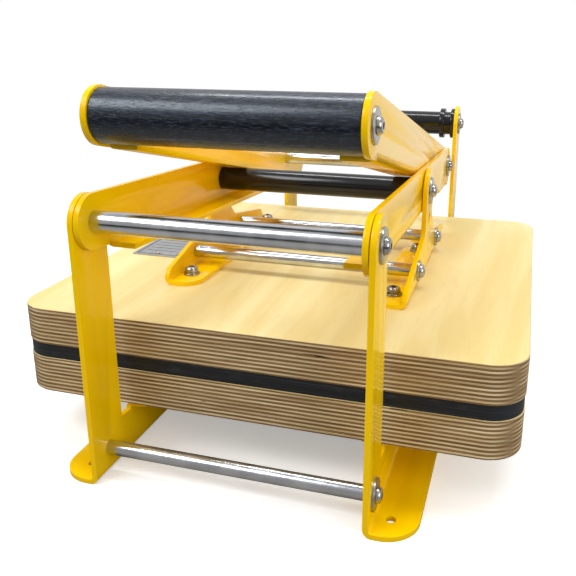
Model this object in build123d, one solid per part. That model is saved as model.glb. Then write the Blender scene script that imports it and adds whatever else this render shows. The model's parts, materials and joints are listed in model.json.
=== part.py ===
from build123d import *
import math
import os

# Hand-lever printing press: a fixed bed and a level platen between two steel side plates,
# worked by a pair of long arms and a second pair of arms that carry the grip.
# Millimetres. X runs across the press, +Y runs to the rear and +Z is up.
# The origin is on the floor, under the middle of the frame.

# ---- driving dimensions -------------------------------------------------------------
plate_thickness = 3.5
bend_radius = 2.4

board_width = 352.0
board_depth = 350.0
board_thickness = 27.0
board_corner_radius = 24.0
board_edge_radius = 1.2
mat_thickness = 5.0
mat_inset = 0.6
bed_height = 38.0

side_inner = 89.4
upright_width = 35.4
upright_to_board = 8.3
foot_width = 31.6
foot_corner_radius = 22.0
foot_hole_radius = 3.25
foot_hole_inset = 10.7
support_flange_width = 22.0
support_flange_setback = 12.0
support_flange_corner = 14.0

front_pivot_height = 176.5
rear_bar_height = 195.4
tie_rod_height = 19.0
front_shaft_radius = 7.0
thin_rod_radius = 5.0
core_rod_radius = 6.0
spigot_radius = 5.0
running_clearance = 0.05
seat_clearance = 0.05

centre_pivot_height = 166.6
centre_pivot_forward = 4.45
rear_pivot_reach = 359.0
arm_gap = 0.7
arm_half_height = 17.7
arm_flange_width = 21.2
arm_flange_front = 16.0
arm_flange_drop = 1.8
arm_flange_rear = 66.0

centre_sleeve_radius = 9.6
rear_sleeve_radius = 11.5
collar_radius = 15.0
inner_collar_width = 5.0
inner_slot_clearance = 1.8
outer_slot_clearance = 0.7

handle_gap = 0.7
handle_offset = 11.0
grip_radius = 16.7
handle_rim = 1.3
handle_flange_drop = 0.91
handle_rest_gap = 0.3
tail_reach = 42.5
handle_flange_front = 12.0
handle_flange_rear = 34.0

bracket_front = 104.0
bracket_rear = 104.0
bracket_flange_edge = 67.0
front_foot_end = 46.0
rear_foot_start = 64.0
bracket_foot_corner = 14.0
bracket_rod_height = 13.4
bracket_rod_spread = 50.0
spare_hole_drop = 22.3
spare_hole_radius = 4.9
bracket_screw_places = (-84.0, 30.0, 91.0)
bracket_screw_inset = 9.6

bolt_radius = 3.0
bolt_head_radius = 5.25
bolt_head_height = 3.3
bolt_hole_radius = 3.3
bolt_reach = 18.0
socket_radius = 2.3
socket_depth = 2.0
large_washer_radius = 10.5
small_washer_radius = 8.0
washer_thickness = 1.6
lock_washer_radius = 5.3
lock_washer_thickness = 1.4
flat_washer_radius = 6.2
insert_radius = 4.5
insert_length = 13.0
bed_screw_radius = 2.5
bed_screw_head_radius = 4.6
bed_screw_head_height = 2.6
bed_screw_reach = 20.0
bed_screw_places = (-130.0, 0.0, 130.0)
grip_bolt_reach = 30.0

label_width = 44.0
label_depth = 60.0
label_thickness = 0.8
label_left = 158.0
label_front = 40.0
rivet_radius = 1.2
rivet_head_radius = 2.2
rivet_head_height = 1.1
rivet_reach = 6.0
rivet_inset = 6.0

# ---- places worked out from them ----------------------------------------------------
side_outer = side_inner + plate_thickness
upright_centre = board_depth / 2 + upright_to_board + upright_width / 2
frame_end = upright_centre + upright_width / 2
bend_outer = bend_radius + plate_thickness
plate_bolt_reach = plate_thickness + washer_thickness + bolt_reach - 2 * seat_clearance

arm_outer = side_inner - arm_gap
arm_inner = arm_outer - plate_thickness
handle_arm_outer = arm_inner - handle_gap
handle_arm_inner = handle_arm_outer - plate_thickness

lower_mat_bottom = bed_height + board_thickness
upper_mat_bottom = lower_mat_bottom + mat_thickness
upper_board_bottom = upper_mat_bottom + mat_thickness
upper_board_top = upper_board_bottom + board_thickness

front_pivot = (-upright_centre, front_pivot_height)
centre_pivot = (-centre_pivot_forward, centre_pivot_height)
centre_pivot_reach = math.dist(front_pivot, centre_pivot)
arm_drop = math.asin((front_pivot_height - centre_pivot_height) / centre_pivot_reach)
rear_pivot = (
    -upright_centre + rear_pivot_reach * math.cos(arm_drop),
    front_pivot_height - rear_pivot_reach * math.sin(arm_drop),
)

# The handle arms lie with their flanges just above the centre bar, which sets their slope.
handle_end_radius = grip_radius + handle_rim
handle_lower_edge = handle_end_radius + handle_flange_drop
rest_distance = handle_lower_edge + centre_sleeve_radius + handle_rest_gap
handle_rise = math.asin(rest_distance / math.dist(rear_pivot, centre_pivot))
handle_rise += math.atan2(centre_pivot[1] - rear_pivot[1], rear_pivot[0] - centre_pivot[0])
handle_span = rear_pivot[0] + upright_centre - handle_offset
handle_centre = (-upright_centre + handle_offset, rear_pivot[1] + handle_span * math.tan(handle_rise))
handle_reach = math.dist(rear_pivot, handle_centre)


# ---- shapes used more than once ------------------------------------------------------
def mirrored(shape):
    return mirror(shape, about=Plane.YZ)


def plate(outline, inner_face):
    """A plate across X, from an outline drawn in Y and Z, outward from inner_face."""
    return extrude(Plane.YZ.offset(inner_face) * outline, plate_thickness)


def disc_at(y, z, radius):
    return Pos(y, z) * Circle(radius)


def outline_of(points):
    return make_face(Polyline(*points, close=True))


def nearest_vertex(shape, place):
    return min(shape.vertices(), key=lambda v: (v.center() - Vector(*place)).length)


def bent_section(flange_width):
    """Section of a bent sheet: a quarter bend at the corner and a flange along local X."""
    bend = Pos(bend_outer, bend_outer) * (Circle(bend_outer) - Circle(bend_radius))
    bend &= Pos(bend_outer / 2, bend_outer / 2) * Rectangle(bend_outer, bend_outer)
    middle = (bend_outer + flange_width) / 2
    return bend + Pos(middle, plate_thickness / 2) * Rectangle(flange_width - bend_outer, plate_thickness)


def bent_flange(web_face, flange_width, start, end, bottom, inward):
    """A bend along Y whose web's far face lies at web_face, with its flange at the bottom."""
    section = bent_section(flange_width)
    if inward:
        plane = Plane(origin=(web_face, start, bottom), x_dir=(-1, 0, 0), z_dir=(0, 1, 0))
        return extrude(plane * section, end - start)
    plane = Plane(origin=(web_face, end, bottom), x_dir=(1, 0, 0), z_dir=(0, -1, 0))
    return extrude(plane * section, end - start)


def swung(shape, pivot, degrees):
    """A shape drawn about its own pivot, turned about X and put at its place."""
    return Pos(0, pivot[0], pivot[1]) * Rot(degrees, 0, 0) * shape


def rod_along_x(radius, start, end, y, z):
    return extrude(Plane.YZ.offset(start) * disc_at(y, z, radius), end - start)


def ring_along_x(outer, inner, start, end, place):
    ring = disc_at(*place, outer) - disc_at(*place, inner)
    return extrude(Plane.YZ.offset(start) * ring, end - start)


def cross_rod(radius, half_length, place, step_to=None):
    """A round bar across the press with tapped ends and, if asked, a thinner stub at each end."""
    rod = rod_along_x(radius, -half_length, half_length, *place)
    reach = step_to or half_length
    if step_to:
        rod += rod_along_x(spigot_radius, -step_to, step_to, *place)
    tap = rod_along_x(bolt_radius + seat_clearance, reach - bolt_reach, reach, *place)
    return rod - tap - mirrored(tap)


def button_bolt(radius, reach, head_radius, head_height):
    """A button-head bolt along -Z with the head's flat at Z = 0."""
    head = extrude(Circle(head_radius), head_height)
    head = fillet(head.edges().sort_by(Axis.Z)[-1], head_height * 0.7)
    socket = extrude(RegularPolygon(socket_radius, 6), -socket_depth)
    head -= Pos(0, 0, head_height) * socket
    return head + extrude(Circle(radius), -reach)


def bolt_across(head_face, reach, place):
    """A bolt from the right-hand side, with its head seated at X = head_face."""
    bolt = button_bolt(bolt_radius, reach, bolt_head_radius, bolt_head_height)
    return Pos(head_face, *place) * Rot(0, 90, 0) * bolt


def pair(shape):
    return [shape, mirrored(shape)]


def fasten_across(name, face, reach, places, washer_radius):
    """Bolts and washers on both sides of the press, seated on plates at X = face."""
    bolts = []
    washers = []
    for place in places:
        head_face = face + washer_thickness
        bolts += pair(bolt_across(head_face, reach, place))
        washers += pair(ring_along_x(washer_radius, bolt_hole_radius, face, head_face, place))
    save(name + "_bolts", *bolts)
    save(name + "_washers", *washers)


def save(node, *solids):
    shape = solids[0] if len(solids) == 1 else Compound(children=list(solids))
    shape.label = node
    export_step(shape, os.path.join("parts", node + ".step"))


def save_pair(name, right_shape):
    save("right_" + name, right_shape)
    save("left_" + name, mirrored(right_shape))


# ---- frame ---------------------------------------------------------------------------
def side_plate():
    """U-shaped side: two uprights on a deep rail, feet bent outward, a ledge bent inward."""
    rail_height = bed_height - bend_outer
    rail = Pos(0, (rail_height + bend_outer) / 2) * Rectangle(2 * frame_end, rail_height - bend_outer)
    outline = Sketch() + rail
    for centre, top in ((-upright_centre, front_pivot_height), (upright_centre, rear_bar_height)):
        upright = Pos(centre, (top + bend_outer) / 2) * Rectangle(upright_width, top - bend_outer)
        outline += upright + disc_at(centre, top, upright_width / 2)
    holes = [front_pivot, (upright_centre, rear_bar_height)]
    holes += [(-upright_centre, tie_rod_height), (upright_centre, tie_rod_height)]
    for hole in holes:
        outline -= disc_at(*hole, bolt_hole_radius)
    web = plate(outline, side_inner)

    foot = bent_flange(side_inner, foot_width, -frame_end, frame_end, 0, inward=False)
    corners = foot.edges().filter_by(Axis.Z).group_by(Axis.X)[-1]
    foot = fillet(corners, foot_corner_radius)
    for end in (-upright_centre, upright_centre):
        hole = Pos(side_outer + foot_hole_inset, end, 0) * Circle(foot_hole_radius)
        foot -= extrude(hole, plate_thickness)

    ledge_end = upright_centre - upright_width / 2 - support_flange_setback
    ledge = bent_flange(side_outer, support_flange_width, -ledge_end, ledge_end, 0, inward=True)
    free_corners = ledge.edges().filter_by(Axis.Z).group_by(Axis.X)[0]
    ledge = fillet(free_corners, support_flange_corner)
    ledge = Pos(0, 0, bed_height) * mirror(ledge, about=Plane.XY)
    for y in bed_screw_places:
        ledge -= Pos(bed_screw_line(), y, bed_height) * extrude(
            Circle(bed_screw_radius + seat_clearance), -plate_thickness)
    return web + foot + ledge


def bed_screw_line():
    """Distance from the middle of the press to each row of screws under the bed."""
    return side_outer - support_flange_width / 2 - bend_outer / 2


def board(bottom):
    shape = Pos(0, 0, bottom + board_thickness / 2) * Box(board_width, board_depth, board_thickness)
    shape = fillet(shape.edges().filter_by(Axis.Z), board_corner_radius)
    rims = shape.edges().group_by(Axis.Z)
    return fillet(list(rims[0]) + list(rims[-1]), board_edge_radius)


def mat(bottom):
    shape = Pos(0, 0, bottom + mat_thickness / 2) * Box(
        board_width - 2 * mat_inset, board_depth - 2 * mat_inset, mat_thickness)
    return fillet(shape.edges().filter_by(Axis.Z), board_corner_radius - mat_inset)


def bed_screw_points():
    return [(side * bed_screw_line(), y) for side in (-1, 1) for y in bed_screw_places]


def lower_board():
    shape = board(bed_height)
    for x, y in bed_screw_points():
        shape -= Pos(x, y, bed_height) * extrude(Circle(bed_screw_radius + seat_clearance), bed_screw_reach)
    return shape


def bed_screws():
    screw = button_bolt(bed_screw_radius, bed_screw_reach, bed_screw_head_radius, bed_screw_head_height)
    head_face = bed_height - plate_thickness
    return [Pos(x, y, head_face) * Rot(180, 0, 0) * screw for x, y in bed_screw_points()]


def build_frame():
    save_pair("side_plate", side_plate())
    save("lower_board", lower_board())
    save("lower_mat", mat(lower_mat_bottom))
    save("bed_screws", *bed_screws())

    rod_end = side_inner - seat_clearance
    save("front_tie_rod", cross_rod(thin_rod_radius, rod_end, (-upright_centre, tie_rod_height)))
    save("rear_tie_rod", cross_rod(thin_rod_radius, rod_end, (upright_centre, tie_rod_height)))
    tie_places = [(-upright_centre, tie_rod_height), (upright_centre, tie_rod_height)]
    fasten_across("tie_rod", side_outer, plate_bolt_reach, tie_places, large_washer_radius)

    shoulder = arm_inner - 2 * seat_clearance
    save("front_pivot_shaft", cross_rod(front_shaft_radius, shoulder, front_pivot, step_to=rod_end))
    fasten_across("front_pivot", side_outer, plate_bolt_reach, [front_pivot], large_washer_radius)
    save("front_pivot_shims", *pair(pivot_shim(arm_outer, side_inner, front_pivot)))

    bar = (upright_centre, rear_bar_height)
    save("rear_bar_core", cross_rod(core_rod_radius, rod_end, bar))
    bore = core_rod_radius + seat_clearance
    save("rear_bar_sleeve", ring_along_x(rear_sleeve_radius, bore, -rod_end, rod_end, bar))
    slot_inner = handle_arm_inner - inner_slot_clearance
    slot_outer = handle_arm_outer + outer_slot_clearance
    collar_bore = rear_sleeve_radius + seat_clearance
    save_pair("inner_collar", ring_along_x(
        collar_radius, collar_bore, slot_inner - inner_collar_width, slot_inner, bar))
    save_pair("outer_collar", ring_along_x(collar_radius, collar_bore, slot_outer, rod_end, bar))
    fasten_across("rear_bar", side_outer, plate_bolt_reach, [bar], large_washer_radius)


def pivot_shim(inner_face, outer_face, place):
    """A thin thrust washer on a pivot stub, between two plates."""
    bore = spigot_radius + seat_clearance
    return ring_along_x(
        small_washer_radius, bore, inner_face + seat_clearance, outer_face - seat_clearance, place)


# ---- long arms -----------------------------------------------------------------------
def long_arm():
    """A straight arm with round ends and an inward flange, drawn about the front pivot."""
    outline = Pos(rear_pivot_reach / 2, 0) * Rectangle(rear_pivot_reach, 2 * arm_half_height)
    outline += disc_at(0, 0, arm_half_height) + disc_at(rear_pivot_reach, 0, arm_half_height)
    start = arm_flange_front
    end = rear_pivot_reach - arm_flange_rear
    low = -arm_half_height - arm_flange_drop
    outline -= Pos((start + end) / 2, low + bend_outer / 2) * Rectangle(end - start, bend_outer)
    pivot_hole = spigot_radius + running_clearance
    outline -= disc_at(0, 0, pivot_hole) + disc_at(centre_pivot_reach, 0, pivot_hole)
    outline -= disc_at(rear_pivot_reach, 0, bolt_hole_radius)
    arm = plate(outline, arm_inner)
    arm += bent_flange(arm_outer, arm_flange_width, start, end, low, inward=True)
    return swung(arm, front_pivot, -math.degrees(arm_drop))


def build_long_arms():
    save_pair("long_arm", long_arm())
    stub_end = arm_inner - seat_clearance
    shoulder = handle_arm_inner - 2 * seat_clearance
    save("rear_pivot_rod", cross_rod(core_rod_radius, shoulder, rear_pivot, step_to=stub_end))
    fasten_across("rear_pivot", arm_outer, plate_bolt_reach, [rear_pivot], large_washer_radius)
    save("rear_pivot_shims", *pair(pivot_shim(handle_arm_outer, arm_inner, rear_pivot)))


# ---- platen --------------------------------------------------------------------------
def bracket_outline():
    """Web of a platen bracket: a low body with a neck up to the centre pivot."""
    pivot_y = centre_pivot[0]
    front_top = 12.0
    neck_front_root = 31.0
    neck_rear_root = 41.0
    body_rear_root = 24.5
    body_rear_root_y = 31.0
    rear_top = 13.5
    points = [
        (-bracket_front, bend_outer),
        (-bracket_front + 4, front_top),
        (pivot_y - arm_half_height, neck_front_root),
        (pivot_y - arm_half_height, centre_pivot_height - upper_board_top),
        (pivot_y + arm_half_height, centre_pivot_height - upper_board_top),
        (pivot_y + arm_half_height, neck_rear_root),
        (body_rear_root_y, body_rear_root),
        (bracket_rear - 6, rear_top),
        (bracket_rear, bend_outer),
    ]
    outline = outline_of(points)
    rounding = {1: 8.0, 2: 8.0, 5: 12.0, 6: 6.0, 7: 4.0}
    for index, radius in rounding.items():
        corner = nearest_vertex(outline, (*points[index], 0))
        outline = fillet(corner, radius)
    return Pos(0, upper_board_top) * outline


def bracket():
    outline = bracket_outline() + disc_at(*centre_pivot, arm_half_height)
    spare_hole = (centre_pivot[0], centre_pivot_height - spare_hole_drop)
    outline -= disc_at(*centre_pivot, bolt_hole_radius)
    outline -= disc_at(*spare_hole, spare_hole_radius)
    for place in bracket_rod_places():
        outline -= disc_at(*place, bolt_hole_radius)
    shape = plate(outline, side_inner)
    foot_reach = side_outer - bracket_flange_edge
    for start, end in ((-bracket_front, front_foot_end), (rear_foot_start, bracket_rear)):
        foot = bent_flange(side_outer, foot_reach, start, end, upper_board_top, inward=True)
        free_corners = foot.edges().filter_by(Axis.Z).group_by(Axis.X)[0]
        shape += fillet(free_corners, bracket_foot_corner)
    for x, y in bracket_screw_points(sides=(1,)):
        hole = Pos(x, y, upper_board_top) * Circle(bolt_hole_radius)
        shape -= extrude(hole, plate_thickness)
    return shape


def bracket_rod_places():
    height = upper_board_top + bracket_rod_height
    return [(centre_pivot[0] + side * bracket_rod_spread, height) for side in (-1, 1)]


def bracket_screw_points(sides=(-1, 1)):
    line = side_inner - bracket_screw_inset
    return [(side * line, y) for side in sides for y in bracket_screw_places]


def label_centre():
    return (-label_left + label_width / 2, -label_front + label_depth / 2)


def rivet_points():
    x, y = label_centre()
    offset = label_depth / 2 - rivet_inset
    return [(x, y - offset), (x, y + offset)]


def upper_board():
    shape = board(upper_board_bottom)
    for x, y in bracket_screw_points():
        hole = Circle(insert_radius + seat_clearance)
        shape -= Pos(x, y, upper_board_top) * extrude(hole, -insert_length - 1)
    for x, y in rivet_points():
        shape -= Pos(x, y, upper_board_top) * extrude(Circle(rivet_radius + seat_clearance), -rivet_reach)
    return shape


def label_plate():
    shape = Pos(*label_centre(), upper_board_top + label_thickness / 2) * Box(
        label_width, label_depth, label_thickness)
    shape = fillet(shape.edges().filter_by(Axis.Z), 2)
    for x, y in rivet_points():
        hole = Pos(x, y, upper_board_top) * Circle(rivet_radius + seat_clearance)
        shape -= extrude(hole, label_thickness)
    return shape


def label_rivet():
    head = extrude(Circle(rivet_head_radius), rivet_head_height)
    head = fillet(head.edges().sort_by(Axis.Z)[-1], rivet_head_height * 0.8)
    return head + extrude(Circle(rivet_radius), 0.9 * (seat_clearance - rivet_reach))


def stack_at_screws(shape, height):
    return [Pos(x, y, upper_board_top + height) * shape for x, y in bracket_screw_points()]


def ring_up(outer, inner, height):
    return extrude(Circle(outer) - Circle(inner), height)


def build_platen():
    save("upper_board", upper_board())
    save("upper_mat", mat(upper_mat_bottom))
    save_pair("bracket", bracket())

    flat_washer = ring_up(flat_washer_radius, bolt_hole_radius, washer_thickness)
    lock_washer = ring_up(lock_washer_radius, bolt_hole_radius, lock_washer_thickness)
    head_height = plate_thickness + washer_thickness + lock_washer_thickness
    screw = button_bolt(bolt_radius, head_height + insert_length - 1, bolt_head_radius, bolt_head_height)
    insert = ring_up(insert_radius, bolt_radius + seat_clearance, insert_length)
    save("bracket_flat_washers", *stack_at_screws(flat_washer, plate_thickness))
    save("bracket_lock_washers", *stack_at_screws(lock_washer, plate_thickness + washer_thickness))
    save("bracket_screws", *stack_at_screws(screw, head_height))
    save("board_inserts", *stack_at_screws(insert, -insert_length))

    rod_end = side_inner - seat_clearance
    rods = [cross_rod(thin_rod_radius, rod_end, place) for place in bracket_rod_places()]
    save("bracket_front_rod", rods[0])
    save("bracket_rear_rod", rods[1])
    fasten_across("bracket_rod", side_outer, plate_bolt_reach, bracket_rod_places(), small_washer_radius)

    shoulder = arm_inner - 2 * seat_clearance
    save("centre_bar_core", cross_rod(core_rod_radius, shoulder, centre_pivot, step_to=rod_end))
    bore = core_rod_radius + seat_clearance
    save("centre_bar_sleeve", ring_along_x(centre_sleeve_radius, bore, -shoulder, shoulder, centre_pivot))
    fasten_across("centre_pivot", side_outer, plate_bolt_reach, [centre_pivot], large_washer_radius)
    save("centre_pivot_shims", *pair(pivot_shim(arm_outer, side_inner, centre_pivot)))

    save("label_plate", label_plate())
    top = upper_board_top + label_thickness
    save("label_rivets", *[Pos(x, y, top) * label_rivet() for x, y in rivet_points()])


# ---- handle --------------------------------------------------------------------------
def handle_arm():
    """A straight arm with round ends, running on behind the rear pivot as a tail."""
    grip_y = -handle_reach
    low = -handle_lower_edge
    middle = (tail_reach + grip_y) / 2
    outline = Pos(middle, 0) * Rectangle(tail_reach - grip_y, 2 * handle_end_radius)
    outline += disc_at(grip_y, 0, handle_end_radius) + disc_at(tail_reach, 0, handle_end_radius)
    start = grip_y + handle_flange_front
    end = -handle_flange_rear
    outline -= Pos((start + end) / 2, low + bend_outer / 2) * Rectangle(end - start, bend_outer)
    outline -= disc_at(0, 0, spigot_radius + running_clearance)
    outline -= disc_at(grip_y, 0, bolt_hole_radius)
    arm = plate(outline, handle_arm_inner)
    arm += bent_flange(handle_arm_outer, arm_flange_width, start, end, low, inward=True)
    return swung(arm, rear_pivot, -math.degrees(handle_rise))


def build_handle():
    save_pair("handle_arm", handle_arm())
    grip_end = handle_arm_inner - seat_clearance
    grip = rod_along_x(grip_radius, -grip_end, grip_end, *handle_centre)
    grip = fillet(grip.edges(), 1.0)
    bore = rod_along_x(bolt_radius + seat_clearance, grip_end - grip_bolt_reach, grip_end, *handle_centre)
    save("handle_grip", grip - bore - mirrored(bore))
    reach = plate_thickness + washer_thickness + grip_bolt_reach - 2 * seat_clearance
    fasten_across("handle", handle_arm_outer, reach, [handle_centre], large_washer_radius)


os.makedirs("parts", exist_ok=True)
build_frame()
build_long_arms()
build_platen()
build_handle()
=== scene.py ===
import json
import math

import bmesh
import bpy
from mathutils import Matrix, Vector


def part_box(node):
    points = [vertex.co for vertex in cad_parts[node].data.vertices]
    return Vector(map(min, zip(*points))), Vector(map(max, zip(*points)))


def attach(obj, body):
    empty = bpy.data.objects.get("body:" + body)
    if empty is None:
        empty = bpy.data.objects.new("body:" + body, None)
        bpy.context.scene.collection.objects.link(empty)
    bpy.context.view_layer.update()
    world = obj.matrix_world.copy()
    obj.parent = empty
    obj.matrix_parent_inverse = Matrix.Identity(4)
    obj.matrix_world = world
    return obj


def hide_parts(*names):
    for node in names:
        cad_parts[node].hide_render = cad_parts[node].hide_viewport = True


# A hand-lever printing press on a pale studio floor, in metres and in the frame of the packed
# model: X runs across the press, +Y to the rear and +Z up. The CAD model gives every shape and
# place. This script gives the materials, and finer meshes for the sheet metal and the fasteners.

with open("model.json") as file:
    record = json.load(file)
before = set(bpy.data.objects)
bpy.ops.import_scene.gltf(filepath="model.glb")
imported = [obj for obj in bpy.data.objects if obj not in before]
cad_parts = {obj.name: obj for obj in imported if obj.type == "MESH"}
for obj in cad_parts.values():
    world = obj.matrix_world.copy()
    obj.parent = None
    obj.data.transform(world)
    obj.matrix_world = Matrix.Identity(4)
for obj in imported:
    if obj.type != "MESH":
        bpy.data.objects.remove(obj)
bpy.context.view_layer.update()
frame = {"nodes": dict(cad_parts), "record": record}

# ---- sizes ---------------------------------------------------------------------------
# Sheet metal and turned shapes.
coat_edge_round = 0.0006
coat_edge_segments = 3
flat_angle = math.radians(0.4)
sharp_edge_angle = math.radians(35)
smooth_angle = math.radians(38)
lathe_steps = 60

# Button-head bolts. A share is of the head's radius or width, or of the socket's apothem.
bolt_head_height = 0.0033
bed_screw_head_height = 0.0026
bolt_seat_share = 0.96
bolt_flat_top_share = 0.56
bolt_rim_height = 0.0004
bolt_dome_steps = 9
bolt_shank_share = 0.28
bolt_shank_length = 0.004
bolt_shank_overlap = 0.0001
bolt_first_spin = 17
bolt_spin_step = 23
socket_apothem_share = 0.38
socket_chamfer_share = 1.22
socket_chamfer_depth = 0.00025
socket_depth = 0.0020
socket_cone_depth = 0.0004
socket_cone_share = 0.25
dome_to_chamfer_drop = 0.00002

# Flat and spring washers.
washer_hole_radius = 0.0033
washer_edge_round = 0.00025
spring_wire_share = 0.72
spring_gap = math.radians(14)
spring_steps = 54
spring_first_spin = 40
spring_spin_step = 67

# Plywood edges, and the etching of the label plate.
board_plies = 19
ply_wander = 0.55
ply_stain_strength = 0.42
ply_glue_strength = 0.55
face_dash_strength = 0.22
label_border_inset = 0.0035
label_line_half_width = 0.0006
label_rules = 5
label_rule_inset = 0.008
label_first_rule = 0.014

# The camera, with its turn and tilt in degrees and its focal length in millimetres.
camera_place = (0.1629, -0.5731, 0.2876)
camera_turn = 16.97
camera_tilt = 17.55
camera_focal = 45.27
camera_shift = (-0.0308, -0.0493)

# The floor fades out between floor_near and floor_far. The levels are the room's brightness.
floor_reach = 40.0
floor_near = 0.35
floor_far = 1.1
floor_lift = 0.36
floor_glow_behind = 0.9
front_level = 0.40
above_level = 0.57
behind_level = 0.80
lamp_aim = (0.0, 0.0, 0.12)


# ---- materials -----------------------------------------------------------------------
def tone(red, green, blue):
    """A display colour from 0 to 255, as the linear colour that a shader takes."""
    def linear(value):
        share = value / 255
        return share / 12.92 if share <= 0.04045 else ((share + 0.055) / 1.055) ** 2.4
    return (linear(red), linear(green), linear(blue), 1.0)


class Finish:
    """One procedural material: a Principled shader, and short calls for the nodes behind it."""

    def __init__(self, name, **constants):
        self.material = bpy.data.materials.new(name)
        self.material.use_nodes = True
        self.tree = self.material.node_tree
        self.surface = self.tree.nodes["Principled BSDF"]
        for socket, value in constants.items():
            self.surface.inputs[socket.replace("_", " ")].default_value = value
        coordinates = self.tree.nodes.new("ShaderNodeTexCoord")
        self.place = coordinates.outputs["Object"]
        self.facing = coordinates.outputs["Normal"]

    def feed(self, socket, value):
        """Links a node's output to an input, or sets the input to a plain value."""
        if isinstance(value, bpy.types.NodeSocket):
            self.tree.links.new(value, socket)
        else:
            socket.default_value = value

    def node(self, kind, inputs, **settings):
        """Adds a shader node. inputs holds values or outputs by the input's name or number."""
        made = self.tree.nodes.new("ShaderNode" + kind)
        for name, value in settings.items():
            setattr(made, name, value)
        for key, value in inputs.items():
            self.feed(made.inputs[key], value)
        return made

    def math(self, operation, first, second=0.0):
        return self.node("Math", {0: first, 1: second}, operation=operation).outputs[0]

    def split(self, vector):
        return self.node("SeparateXYZ", {0: vector}).outputs

    def noise(self, scale, detail=2.0, distortion=0.0, offset=(0, 0, 0)):
        """Noise from 0 to 1 whose grain is 1 / scale metres along each axis."""
        spread = self.node("Mapping", {"Vector": self.place, "Scale": scale, "Location": offset})
        inputs = {"Vector": spread.outputs[0], "Scale": 1.0, "Detail": detail, "Distortion": distortion}
        return self.node("TexNoise", inputs).outputs["Fac"]

    def ramp(self, value, start, end, low=0.0, high=1.0):
        """A smooth step from low to high as value goes from start to end."""
        inputs = {"Value": value, "From Min": start, "From Max": end, "To Min": low, "To Max": high}
        return self.node("MapRange", inputs, interpolation_type="SMOOTHSTEP").outputs["Result"]

    def blend(self, share, first, second):
        """A colour that goes from first to second as share goes from 0 to 1."""
        made = self.node("Mix", {0: share, 6: first, 7: second}, data_type="RGBA")
        return made.outputs[2]

    def colour(self, value):
        self.feed(self.surface.inputs["Base Color"], value)

    def roughness(self, value):
        self.feed(self.surface.inputs["Roughness"], value)

    def bump(self, height, distance):
        made = self.node("Bump", {"Height": height, "Distance": distance, "Strength": 1.0})
        self.feed(self.surface.inputs["Normal"], made.outputs[0])


def powder_coat():
    """Glossy yellow powder coat: a faint orange peel and fine specks under a hard gloss."""
    finish = Finish(
        "yellow_powder_coat", IOR=1.22, Coat_Weight=0.25, Coat_Roughness=0.05, Coat_IOR=1.3)
    cloud = finish.noise((9, 9, 9), detail=3)
    finish.colour(finish.blend(finish.ramp(cloud, 0.3, 0.7), tone(255, 205, 0), tone(255, 209, 0)))
    finish.roughness(finish.ramp(finish.noise((60, 60, 60)), 0.3, 0.7, 0.16, 0.22))
    peel = finish.noise((520, 520, 520), detail=1.5)
    speck = finish.ramp(finish.noise((1900, 1900, 1900), detail=0), 0.72, 0.80)
    finish.bump(finish.math("ADD", peel, finish.math("MULTIPLY", speck, 0.6)), 0.000004)
    return finish.material


def steel(name, dark, light, smooth, rough, grain):
    """Bright metal with fine drawn or stamped marks. grain is the marks per metre by axis."""
    finish = Finish(name, Metallic=1.0)
    marks = finish.noise(grain, detail=3)
    cloud = finish.noise((70, 70, 70), detail=2)
    finish.colour(finish.blend(finish.ramp(cloud, 0.3, 0.7), dark, light))
    finish.roughness(finish.ramp(finish.math("MULTIPLY", marks, cloud), 0.12, 0.38, smooth, rough))
    finish.bump(marks, 0.000012)
    return finish.material


def black_plastic():
    """Turned black nylon: a soft gloss, with faint turning marks round the bar."""
    finish = Finish("black_nylon", Specular_IOR_Level=0.4, Coat_Weight=0.25, Coat_Roughness=0.08)
    marks = finish.noise((900, 9, 9), detail=1)
    scuff = finish.ramp(finish.noise((30, 90, 90), detail=3, offset=(3, 1, 2)), 0.5, 0.8)
    finish.colour(finish.blend(scuff, tone(14, 15, 18), tone(20, 22, 26)))
    finish.roughness(finish.ramp(marks, 0.25, 0.75, 0.20, 0.23))
    finish.bump(marks, 0.0000008)
    return finish.material


def rubber():
    """Black sheet rubber, matt, with the faint lines that a knife leaves along its edge. The lines are
    real relief, and their lighter bluish colour is a painted highlight.
    """
    finish = Finish("black_sheet_rubber", Specular_IOR_Level=0.4)
    knife_lines_and_highlights = finish.noise((6, 6, 900), detail=2)
    pebble = finish.noise((1100, 1100, 1100), detail=1)
    dust = finish.ramp(finish.noise((90, 90, 240), detail=4), 0.55, 0.85)
    # Painted highlights: the knife lines are painted lighter and bluish, as lines of light along the edge.
    rubber_with_painted_highlights = finish.blend(finish.ramp(knife_lines_and_highlights, 0.45, 0.75), tone(17, 19, 24), tone(44, 49, 58))
    finish.colour(finish.blend(finish.math("MULTIPLY", dust, 0.6), rubber_with_painted_highlights, tone(56, 60, 66)))
    finish.roughness(finish.ramp(knife_lines_and_highlights, 0.3, 0.7, 0.42, 0.62))
    finish.bump(finish.math("ADD", knife_lines_and_highlights, finish.math("MULTIPLY", pebble, 0.3)), 0.00012)
    return finish.material


def stained_wood():
    """Black-stained ash: fine pores in short dashes along the grip, under a satin oil."""
    finish = Finish(
        "black_stained_wood", Specular_IOR_Level=0.65, Specular_Tint=(0.72, 0.84, 1.0, 1.0),
        Coat_Weight=0.25, Coat_Roughness=0.14)
    fibre = finish.noise((190, 1300, 1300), detail=3, distortion=0.25)
    pores = finish.ramp(finish.noise((230, 1900, 1900), detail=2, offset=(5, 2, 7)), 0.56, 0.70)
    bands = finish.noise((5, 120, 120), detail=2, distortion=0.6)
    body = finish.blend(finish.ramp(bands, 0.3, 0.7), tone(9, 11, 17), tone(18, 22, 31))
    streaked = finish.blend(finish.ramp(fibre, 0.52, 0.80), body, tone(66, 76, 98))
    finish.colour(finish.blend(pores, streaked, tone(12, 13, 16)))
    finish.roughness(finish.ramp(fibre, 0.3, 0.75, 0.26, 0.42))
    finish.bump(finish.math("SUBTRACT", fibre, pores), 0.00010)
    return finish.material


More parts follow.
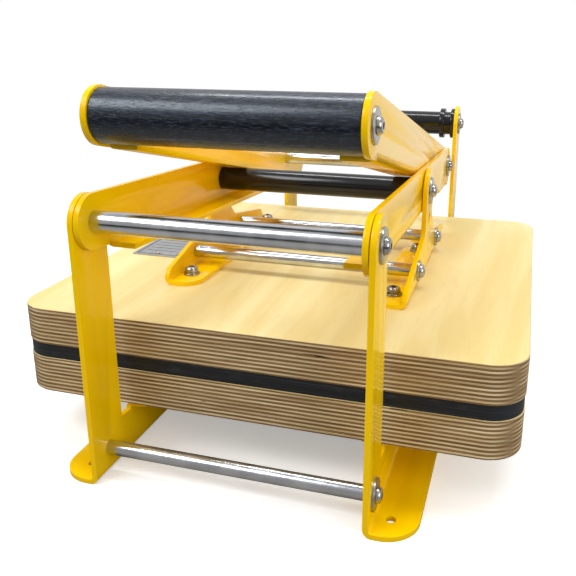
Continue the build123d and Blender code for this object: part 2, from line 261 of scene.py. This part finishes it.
def birch_ply(name, node, shift):
    """Birch plywood: pale rotary-cut faces with their grain along Y, and striped edges.

    Every other ply runs along Y. It shows its long grain on the sides and its end grain in front.
    """
    finish = Finish(name, Specular_IOR_Level=0.35)
    low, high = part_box(node)
    z = finish.split(finish.place)[2]
    nx, ny, nz = finish.split(finish.facing)

    sag = finish.noise((11, 11, 60), detail=2, offset=shift)
    plies_per_metre = board_plies / (high.z - low.z)
    flat_level = finish.math("MULTIPLY", finish.math("SUBTRACT", z, low.z), plies_per_metre)
    wander = finish.math("MULTIPLY", finish.math("SUBTRACT", sag, 0.5), ply_wander)
    level = finish.math("ADD", flat_level, wander)
    ply = finish.math("PINGPONG", level, 1.0)
    along_y = finish.math("LESS_THAN", finish.math("MODULO", level, 2.0), 1.0)
    glue = finish.ramp(finish.math("ABSOLUTE", finish.math("SUBTRACT", ply, 0.5)), 0.40, 0.49)

    streak = finish.noise((22, 22, 700), detail=3, offset=shift)
    pores = finish.noise((1500, 1500, 1100), detail=2)
    long_grain = finish.blend(finish.ramp(streak, 0.3, 0.7), tone(197, 172, 126), tone(240, 221, 182))
    end_grain = finish.blend(finish.ramp(streak, 0.28, 0.72), tone(112, 83, 45), tone(162, 130, 82))
    end_grain = finish.blend(finish.ramp(pores, 0.5, 0.8), end_grain, tone(128, 94, 56))
    front = finish.ramp(finish.math("ABSOLUTE", ny), 0.25, 0.9)
    side = finish.ramp(finish.math("ABSOLUTE", nx), 0.25, 0.9)
    ply_along_y = finish.blend(front, long_grain, end_grain)
    ply_across = finish.blend(side, long_grain, end_grain)
    edge = finish.blend(along_y, ply_across, ply_along_y)
    stain = finish.noise((13, 13, 260), detail=3, distortion=0.5, offset=shift)
    patch = finish.ramp(stain, 0.46, 0.72)
    edge = finish.blend(finish.math("MULTIPLY", patch, ply_stain_strength), edge, tone(122, 84, 44))
    edge = finish.blend(finish.math("MULTIPLY", glue, ply_glue_strength), edge, tone(96, 62, 30))
    knots = finish.noise((30, 30, 430), detail=1, offset=(shift[0] + 4, shift[1] + 9, shift[2]))
    edge = finish.blend(finish.ramp(knots, 0.755, 0.79), edge, tone(52, 27, 13))

    flow = finish.noise((26, 2.6, 8), detail=4, distortion=1.2, offset=shift)
    figure = finish.noise((70, 9, 20), detail=3, distortion=0.8, offset=(shift[1], 0, 0))
    dashes = finish.ramp(finish.noise((1300, 55, 200), detail=1), 0.62, 0.76)
    face = finish.blend(finish.ramp(flow, 0.3, 0.7), tone(230, 207, 134), tone(243, 228, 172))
    face = finish.blend(finish.ramp(figure, 0.45, 0.8, 0.0, 0.35), face, tone(226, 198, 122))
    face = finish.blend(finish.math("MULTIPLY", dashes, face_dash_strength), face, tone(206, 177, 122))

    upward = finish.ramp(finish.math("ABSOLUTE", nz), 0.55, 0.9)
    finish.colour(finish.blend(upward, edge, face))
    finish.roughness(finish.ramp(upward, 0.0, 1.0, 0.62, 0.42))
    relief = finish.math("SUBTRACT", finish.math("MULTIPLY", pores, 0.4), glue)
    flat = finish.math("SUBTRACT", 1.0, upward)
    finish.bump(finish.math("MULTIPLY", relief, flat), 0.00010)
    return finish.material


def label_metal():
    """Brushed aluminium with a plain etched border and five etched rules, all blank."""
    finish = Finish("brushed_label", Metallic=0.9)
    low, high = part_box("label_plate")
    place = finish.split(finish.place)
    x, y = place[0], place[1]

    def rectangle_line(x0, y0, x1, y1):
        """1 on the outline of a rectangle, 0 elsewhere."""
        across = finish.math("ABSOLUTE", finish.math("SUBTRACT", x, (x0 + x1) / 2))
        along = finish.math("ABSOLUTE", finish.math("SUBTRACT", y, (y0 + y1) / 2))
        far = finish.math(
            "MAXIMUM", finish.math("SUBTRACT", across, (x1 - x0) / 2),
            finish.math("SUBTRACT", along, (y1 - y0) / 2))
        return finish.math("LESS_THAN", finish.math("ABSOLUTE", far), label_line_half_width)

    inset = label_border_inset
    etched = rectangle_line(low.x + inset, low.y + inset, high.x - inset, high.y - inset)
    first_rule = low.y + label_first_rule
    rule_step = (high.y - low.y - 2 * label_first_rule) / (label_rules - 1)
    for index in range(label_rules):
        level = first_rule + index * rule_step
        rule = rectangle_line(low.x + label_rule_inset, level, high.x - label_rule_inset, level)
        etched = finish.math("MAXIMUM", etched, rule)
    brush = finish.noise((3200, 12, 12), detail=2)
    metal = finish.blend(finish.ramp(brush, 0.25, 0.75), tone(150, 152, 156), tone(196, 198, 200))
    finish.colour(finish.blend(etched, metal, tone(42, 42, 44)))
    finish.roughness(finish.ramp(brush, 0.25, 0.75, 0.30, 0.48))
    finish.bump(finish.math("SUBTRACT", brush, etched), 0.00002)
    return finish.material


yellow = powder_coat()
chrome = steel("ground_chrome", tone(196, 198, 202), tone(216, 218, 222), 0.15, 0.27, (7, 1500, 1500))
zinc = steel("zinc_plate", tone(158, 154, 146), tone(188, 184, 176), 0.20, 0.40, (420, 420, 420))
bright_steel = steel("bright_steel", tone(162, 160, 156), tone(192, 189, 184), 0.13, 0.26, (700, 700, 700))
dull_steel = steel("dull_steel", tone(120, 112, 100), tone(160, 152, 140), 0.30, 0.50, (500, 500, 500))
nylon = black_plastic()
mat_rubber = rubber()
grip_wood = stained_wood()
label = label_metal()
upper_ply = birch_ply("birch_ply_upper", "upper_board", (0.31, 1.7, 0.4))
lower_ply = birch_ply("birch_ply_lower", "lower_board", (2.3, 0.9, 3.1))


# ---- helpers -------------------------------------------------------------------------
body_of_node = {}
for body_name, members in frame["record"]["behaviour"]["bodies"].items():
    for member in members:
        body_of_node[member] = body_name


def cover(node, material):
    """Gives a CAD node its material."""
    mesh = frame["nodes"][node].data
    mesh.materials.clear()
    mesh.materials.append(material)


def add_piece(name, bm, material, node):
    """Makes a shown piece from a bmesh. It rides on the node's body and stands for the node."""
    mesh = bpy.data.meshes.new(name)
    bm.normal_update()
    bm.to_mesh(mesh)
    bm.free()
    mesh.shade_smooth()
    mesh.set_sharp_from_angle(angle=smooth_angle)
    mesh.materials.append(material)
    piece = bpy.data.objects.new(name, mesh)
    bpy.context.scene.collection.objects.link(piece)
    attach(piece, body_of_node[node])
    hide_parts(node)


def cad_mesh(node):
    """A copy of a CAD node's mesh with its split vertices joined."""
    bm = bmesh.new()
    bm.from_mesh(frame["nodes"][node].data)
    bmesh.ops.remove_doubles(bm, verts=bm.verts, dist=1e-6)
    return bm


def solids(node):
    """Lowest and highest corner of each separate solid in a CAD node."""
    bm = cad_mesh(node)
    unseen = set(bm.verts)
    found = []
    while unseen:
        front = [unseen.pop()]
        group = list(front)
        while front:
            for edge in front.pop().link_edges:
                for vertex in edge.verts:
                    if vertex in unseen:
                        unseen.remove(vertex)
                        front.append(vertex)
                        group.append(vertex)
        low = Vector([min(v.co[axis] for v in group) for axis in range(3)])
        high = Vector([max(v.co[axis] for v in group) for axis in range(3)])
        found.append((low, high))
    bm.free()
    return sorted(found, key=lambda box: tuple(box[0]))


def ease(node, material):
    """The CAD shape with its sharp edges rounded off, as a powder coat leaves cut sheet."""
    bm = cad_mesh(node)
    bmesh.ops.dissolve_limit(bm, angle_limit=flat_angle, verts=bm.verts, edges=bm.edges)
    sharp = [
        edge for edge in bm.edges
        if len(edge.link_faces) == 2 and edge.calc_face_angle(0.0) > sharp_edge_angle]
    bmesh.ops.bevel(
        bm, geom=sharp, offset=coat_edge_round, offset_type="OFFSET", segments=coat_edge_segments,
        profile=0.5, affect="EDGES", clamp_overlap=True)
    add_piece(node + "_coated", bm, material, node)


def turned(bm, loops, turn, closed):
    """Adds a turned shape: loops of (height, radius or radius by angle) about local +Z.

    A closed shape joins its last loop to its first, as a ring does. The others get end caps.
    """
    rings = []
    for height, radius in loops:
        ring = []
        for step in range(lathe_steps):
            angle = 2 * math.pi * step / lathe_steps
            reach = radius(angle) if callable(radius) else radius
            spot = Vector((reach * math.cos(angle), reach * math.sin(angle), height))
            ring.append(bm.verts.new(turn @ spot))
        rings.append(ring)
    pairs = list(zip(rings, rings[1:]))
    if closed:
        pairs.append((rings[-1], rings[0]))
    for lower, upper in pairs:
        for step in range(lathe_steps):
            following = (step + 1) % lathe_steps
            bm.faces.new((lower[step], lower[following], upper[following], upper[step]))
    if not closed:
        bm.faces.new(list(reversed(rings[0])))
        bm.faces.new(rings[-1])


def hexagon(apothem):
    """Radius by angle of a hexagon that lies apothem from its centre at the flats."""
    def reach(angle):
        third = math.pi / 3
        return apothem / math.cos((angle + third / 2) % third - third / 2)
    return reach


def bolt_profile(radius, head):
    """Loops of a button head from its seat up its dome and down into its hex socket."""
    top = radius * bolt_flat_top_share
    loops = [(0.0, radius * bolt_seat_share), (bolt_rim_height / 2, radius)]
    for step in range(bolt_dome_steps + 1):
        angle = math.pi / 2 * step / bolt_dome_steps
        height = bolt_rim_height + (head - bolt_rim_height) * math.sin(angle)
        loops.append((height, top + (radius - top) * math.cos(angle)))
    apothem = radius * socket_apothem_share
    loops.append((head - dome_to_chamfer_drop, apothem * socket_chamfer_share))
    loops.append((head - socket_chamfer_depth, hexagon(apothem)))
    loops.append((head - socket_depth, hexagon(apothem)))
    loops.append((head - socket_depth - socket_cone_depth, apothem * socket_cone_share))
    return loops


def toward(direction, spot, spin):
    """Places local +Z along direction, with its origin at spot."""
    tilt = Vector(direction).to_track_quat("Z", "Y").to_matrix().to_4x4()
    return Matrix.Translation(spot) @ tilt @ Matrix.Rotation(spin, 4, "Z")


def outward(low, high, axis):
    """The direction in which a fastener's head points, and the head's outermost spot."""
    middle = (low + high) / 2
    direction = Vector((0, 0, 0))
    if axis == "X":
        direction.x = 1 if middle.x > 0 else -1
        middle.x = high.x if middle.x > 0 else low.x
    else:
        direction.z = 1 if axis == "Z" else -1
        middle.z = high.z if axis == "Z" else low.z
    return direction, middle


def bolts(node, axis, head=bolt_head_height):
    """Fine bolt heads in place of a node of plain ones. Each socket stands at its own angle."""
    bm = bmesh.new()
    for index, (low, high) in enumerate(solids(node)):
        direction, tip = outward(low, high, axis)
        across = high.y - low.y
        seat = tip - direction * head
        spin = math.radians(bolt_first_spin + bolt_spin_step * index)
        turned(bm, bolt_profile(across / 2, head), toward(direction, seat, spin), closed=False)
        shank_end = seat - direction * bolt_shank_length
        shank_radius = across * bolt_shank_share
        shank = [(0.0, shank_radius), (bolt_shank_length + bolt_shank_overlap, shank_radius)]
        turned(bm, shank, toward(direction, shank_end, spin), closed=False)
    add_piece(node + "_fine", bm, bright_steel, node)


def washers(node, axis):
    """Punched washers with a rolled upper edge and a sharper lower one."""
    bm = bmesh.new()
    for low, high in solids(node):
        direction, tip = outward(low, high, axis)
        size = high - low
        thickness = size.x if axis == "X" else size.z
        radius = size.y / 2
        edge = washer_edge_round
        profile = [
            (0.0, washer_hole_radius), (0.0, radius - edge * 0.4), (edge * 0.4, radius),
            (thickness - edge * 1.4, radius), (thickness - edge * 0.5, radius - edge * 0.5),
            (thickness, radius - edge * 1.6), (thickness, washer_hole_radius + edge),
            (thickness - edge, washer_hole_radius),
        ]
        turned(bm, profile, toward(direction, tip - direction * thickness, 0.0), closed=True)
    add_piece(node + "_fine", bm, zinc, node)


def spring_washers(node):
    """Split spring washers: a square wire wound almost once round, with its ends apart."""
    bm = bmesh.new()
    for index, (low, high) in enumerate(solids(node)):
        middle = (low + high) / 2
        radius = (high.y - low.y) / 2
        height = high.z - low.z
        wire = height * spring_wire_share
        start = math.radians(spring_first_spin + spring_spin_step * index) + spring_gap / 2
        corners = ((washer_hole_radius, 0), (radius, 0), (radius, wire), (washer_hole_radius, wire))
        sections = []
        for step in range(spring_steps + 1):
            share = step / spring_steps
            angle = start + (2 * math.pi - spring_gap) * share
            base = low.z + (height - wire) * share
            section = []
            for reach, lift in corners:
                spot = Vector((reach * math.cos(angle), reach * math.sin(angle), lift))
                section.append(bm.verts.new(Vector((middle.x, middle.y, base)) + spot))
            sections.append(section)
        for before, after in zip(sections, sections[1:]):
            for corner in range(4):
                following = (corner + 1) % 4
                bm.faces.new((before[corner], after[corner], after[following], before[following]))
        bm.faces.new(sections[0])
        bm.faces.new(list(reversed(sections[-1])))
    bmesh.ops.recalc_face_normals(bm, faces=bm.faces)
    add_piece(node + "_split", bm, zinc, node)


# ---- the press -----------------------------------------------------------------------
for side in ("left_", "right_"):
    for part in ("side_plate", "long_arm", "handle_arm", "bracket"):
        ease(side + part, yellow)
    for part in ("inner_collar", "outer_collar"):
        ease(side + part, nylon)

for rod in ("front_tie_rod", "rear_tie_rod", "front_pivot_shaft", "rear_pivot_rod",
            "bracket_front_rod", "bracket_rear_rod"):
    cover(rod, chrome)
for core in ("centre_bar_core", "rear_bar_core"):
    cover(core, dull_steel)
for sleeve in ("centre_bar_sleeve", "rear_bar_sleeve"):
    ease(sleeve, nylon)
for shims in ("front_pivot_shims", "centre_pivot_shims", "rear_pivot_shims"):
    cover(shims, dull_steel)
cover("board_inserts", dull_steel)
cover("upper_board", upper_ply)
cover("lower_board", lower_ply)
cover("upper_mat", mat_rubber)
cover("lower_mat", mat_rubber)
cover("handle_grip", grip_wood)
cover("label_plate", label)
cover("label_rivets", bright_steel)

for joint in ("tie_rod", "front_pivot", "rear_bar", "rear_pivot", "centre_pivot", "bracket_rod", "handle"):
    bolts(joint + "_bolts", "X")
    washers(joint + "_washers", "X")
bolts("bracket_screws", "Z")
washers("bracket_flat_washers", "Z")
spring_washers("bracket_lock_washers")
bolts("bed_screws", "-Z", head=bed_screw_head_height)


# ---- studio --------------------------------------------------------------------------
def studio_floor():
    """A pale floor that fades into the white of the room, and that bounces little light."""
    mesh = bpy.data.meshes.new("studio_floor")
    reach = floor_reach
    corners = [(-reach, -reach, 0), (reach, -reach, 0), (reach, reach, 0), (-reach, reach, 0)]
    mesh.from_pydata(corners, [], [(0, 1, 2, 3)])
    finish = Finish("pale_floor", Roughness=0.8, Specular_IOR_Level=0.1, Emission_Strength=1.0)
    cloud = finish.noise((1.5, 1.5, 1.5))
    distance = finish.node("VectorMath", {0: finish.place}, operation="LENGTH").outputs["Value"]
    far = finish.ramp(distance, floor_near, floor_far)
    seen = finish.tree.nodes.new("ShaderNodeLightPath").outputs["Is Camera Ray"]
    bounce = finish.blend(cloud, tone(150, 149, 146), tone(156, 155, 152))
    near_tone = finish.blend(seen, bounce, tone(252, 252, 252))
    finish.colour(finish.blend(far, near_tone, (0, 0, 0, 1)))
    behind = finish.ramp(finish.split(finish.place)[1], -0.5, 0.6)
    far_level = finish.math("MAXIMUM", seen, finish.math("MULTIPLY", behind, floor_glow_behind))
    glow = finish.math("MULTIPLY", far, far_level)
    lifted = finish.math("MAXIMUM", glow, finish.math("MULTIPLY", seen, floor_lift))
    finish.feed(finish.surface.inputs["Emission Color"], lifted)
    mesh.materials.append(finish.material)
    floor = bpy.data.objects.new("studio_floor", mesh)
    bpy.context.scene.collection.objects.link(floor)


def studio_sky():
    """A white room: bright above and behind the press, dimmer from the camera's side."""
    world = bpy.data.worlds.new("studio_sky")
    world.use_nodes = True
    nodes = world.node_tree.nodes
    links = world.node_tree.links
    coordinates = nodes.new("ShaderNodeTexCoord")
    split = nodes.new("ShaderNodeSeparateXYZ")
    links.new(coordinates.outputs["Generated"], split.inputs[0])

    def ramp(value, start, end, low, high):
        made = nodes.new("ShaderNodeMapRange")
        made.interpolation_type = "SMOOTHSTEP"
        for socket, number in zip(("From Min", "From Max", "To Min", "To Max"), (start, end, low, high)):
            made.inputs[socket].default_value = number
        links.new(value, made.inputs["Value"])
        return made.outputs["Result"]

    def larger(first, second):
        made = nodes.new("ShaderNodeMath")
        made.operation = "MAXIMUM"
        links.new(first, made.inputs[0])
        links.new(second, made.inputs[1])
        return made.outputs[0]

    above = ramp(split.outputs["Z"], 0.30, 0.75, front_level, above_level)
    behind = ramp(split.outputs["Y"], -0.05, 0.55, front_level, behind_level)
    seen = nodes.new("ShaderNodeLightPath").outputs["Is Camera Ray"]
    links.new(larger(larger(above, behind), seen), nodes["Background"].inputs["Strength"])
    nodes["Background"].inputs["Color"].default_value = (1.0, 1.0, 1.0, 1.0)
    bpy.context.scene.world = world


def softbox(name, place, aim, size, watts):
    """A rectangular soft light at place that faces aim."""
    light = bpy.data.lights.new(name, "AREA")
    light.shape = "RECTANGLE"
    light.size, light.size_y = size
    light.energy = watts
    lamp = bpy.data.objects.new(name, light)
    lamp.location = place
    lamp.rotation_euler = (Vector(aim) - Vector(place)).to_track_quat("-Z", "Y").to_euler()
    bpy.context.scene.collection.objects.link(lamp)


studio_floor()
studio_sky()
softbox("key_light", (-0.75, -0.85, 1.25), lamp_aim, (0.9, 0.6), 11)
softbox("strip_light", (0.05, 0.16, 1.5), (0.0, 0.0, 0.1), (1.5, 0.13), 12)
softbox("fill_light", (1.3, -0.8, 0.6), lamp_aim, (0.8, 0.8), 7)

view = bpy.data.cameras.new("camera")
view.sensor_width = 36
view.lens = camera_focal
view.shift_x, view.shift_y = camera_shift
view.clip_end = 50
camera = bpy.data.objects.new("camera", view)
camera.location = camera_place
camera.rotation_euler = (math.radians(90 - camera_tilt), 0, math.radians(camera_turn))
bpy.context.scene.collection.objects.link(camera)
bpy.context.scene.camera = camera
bpy.context.scene.view_settings.view_transform = "Standard"
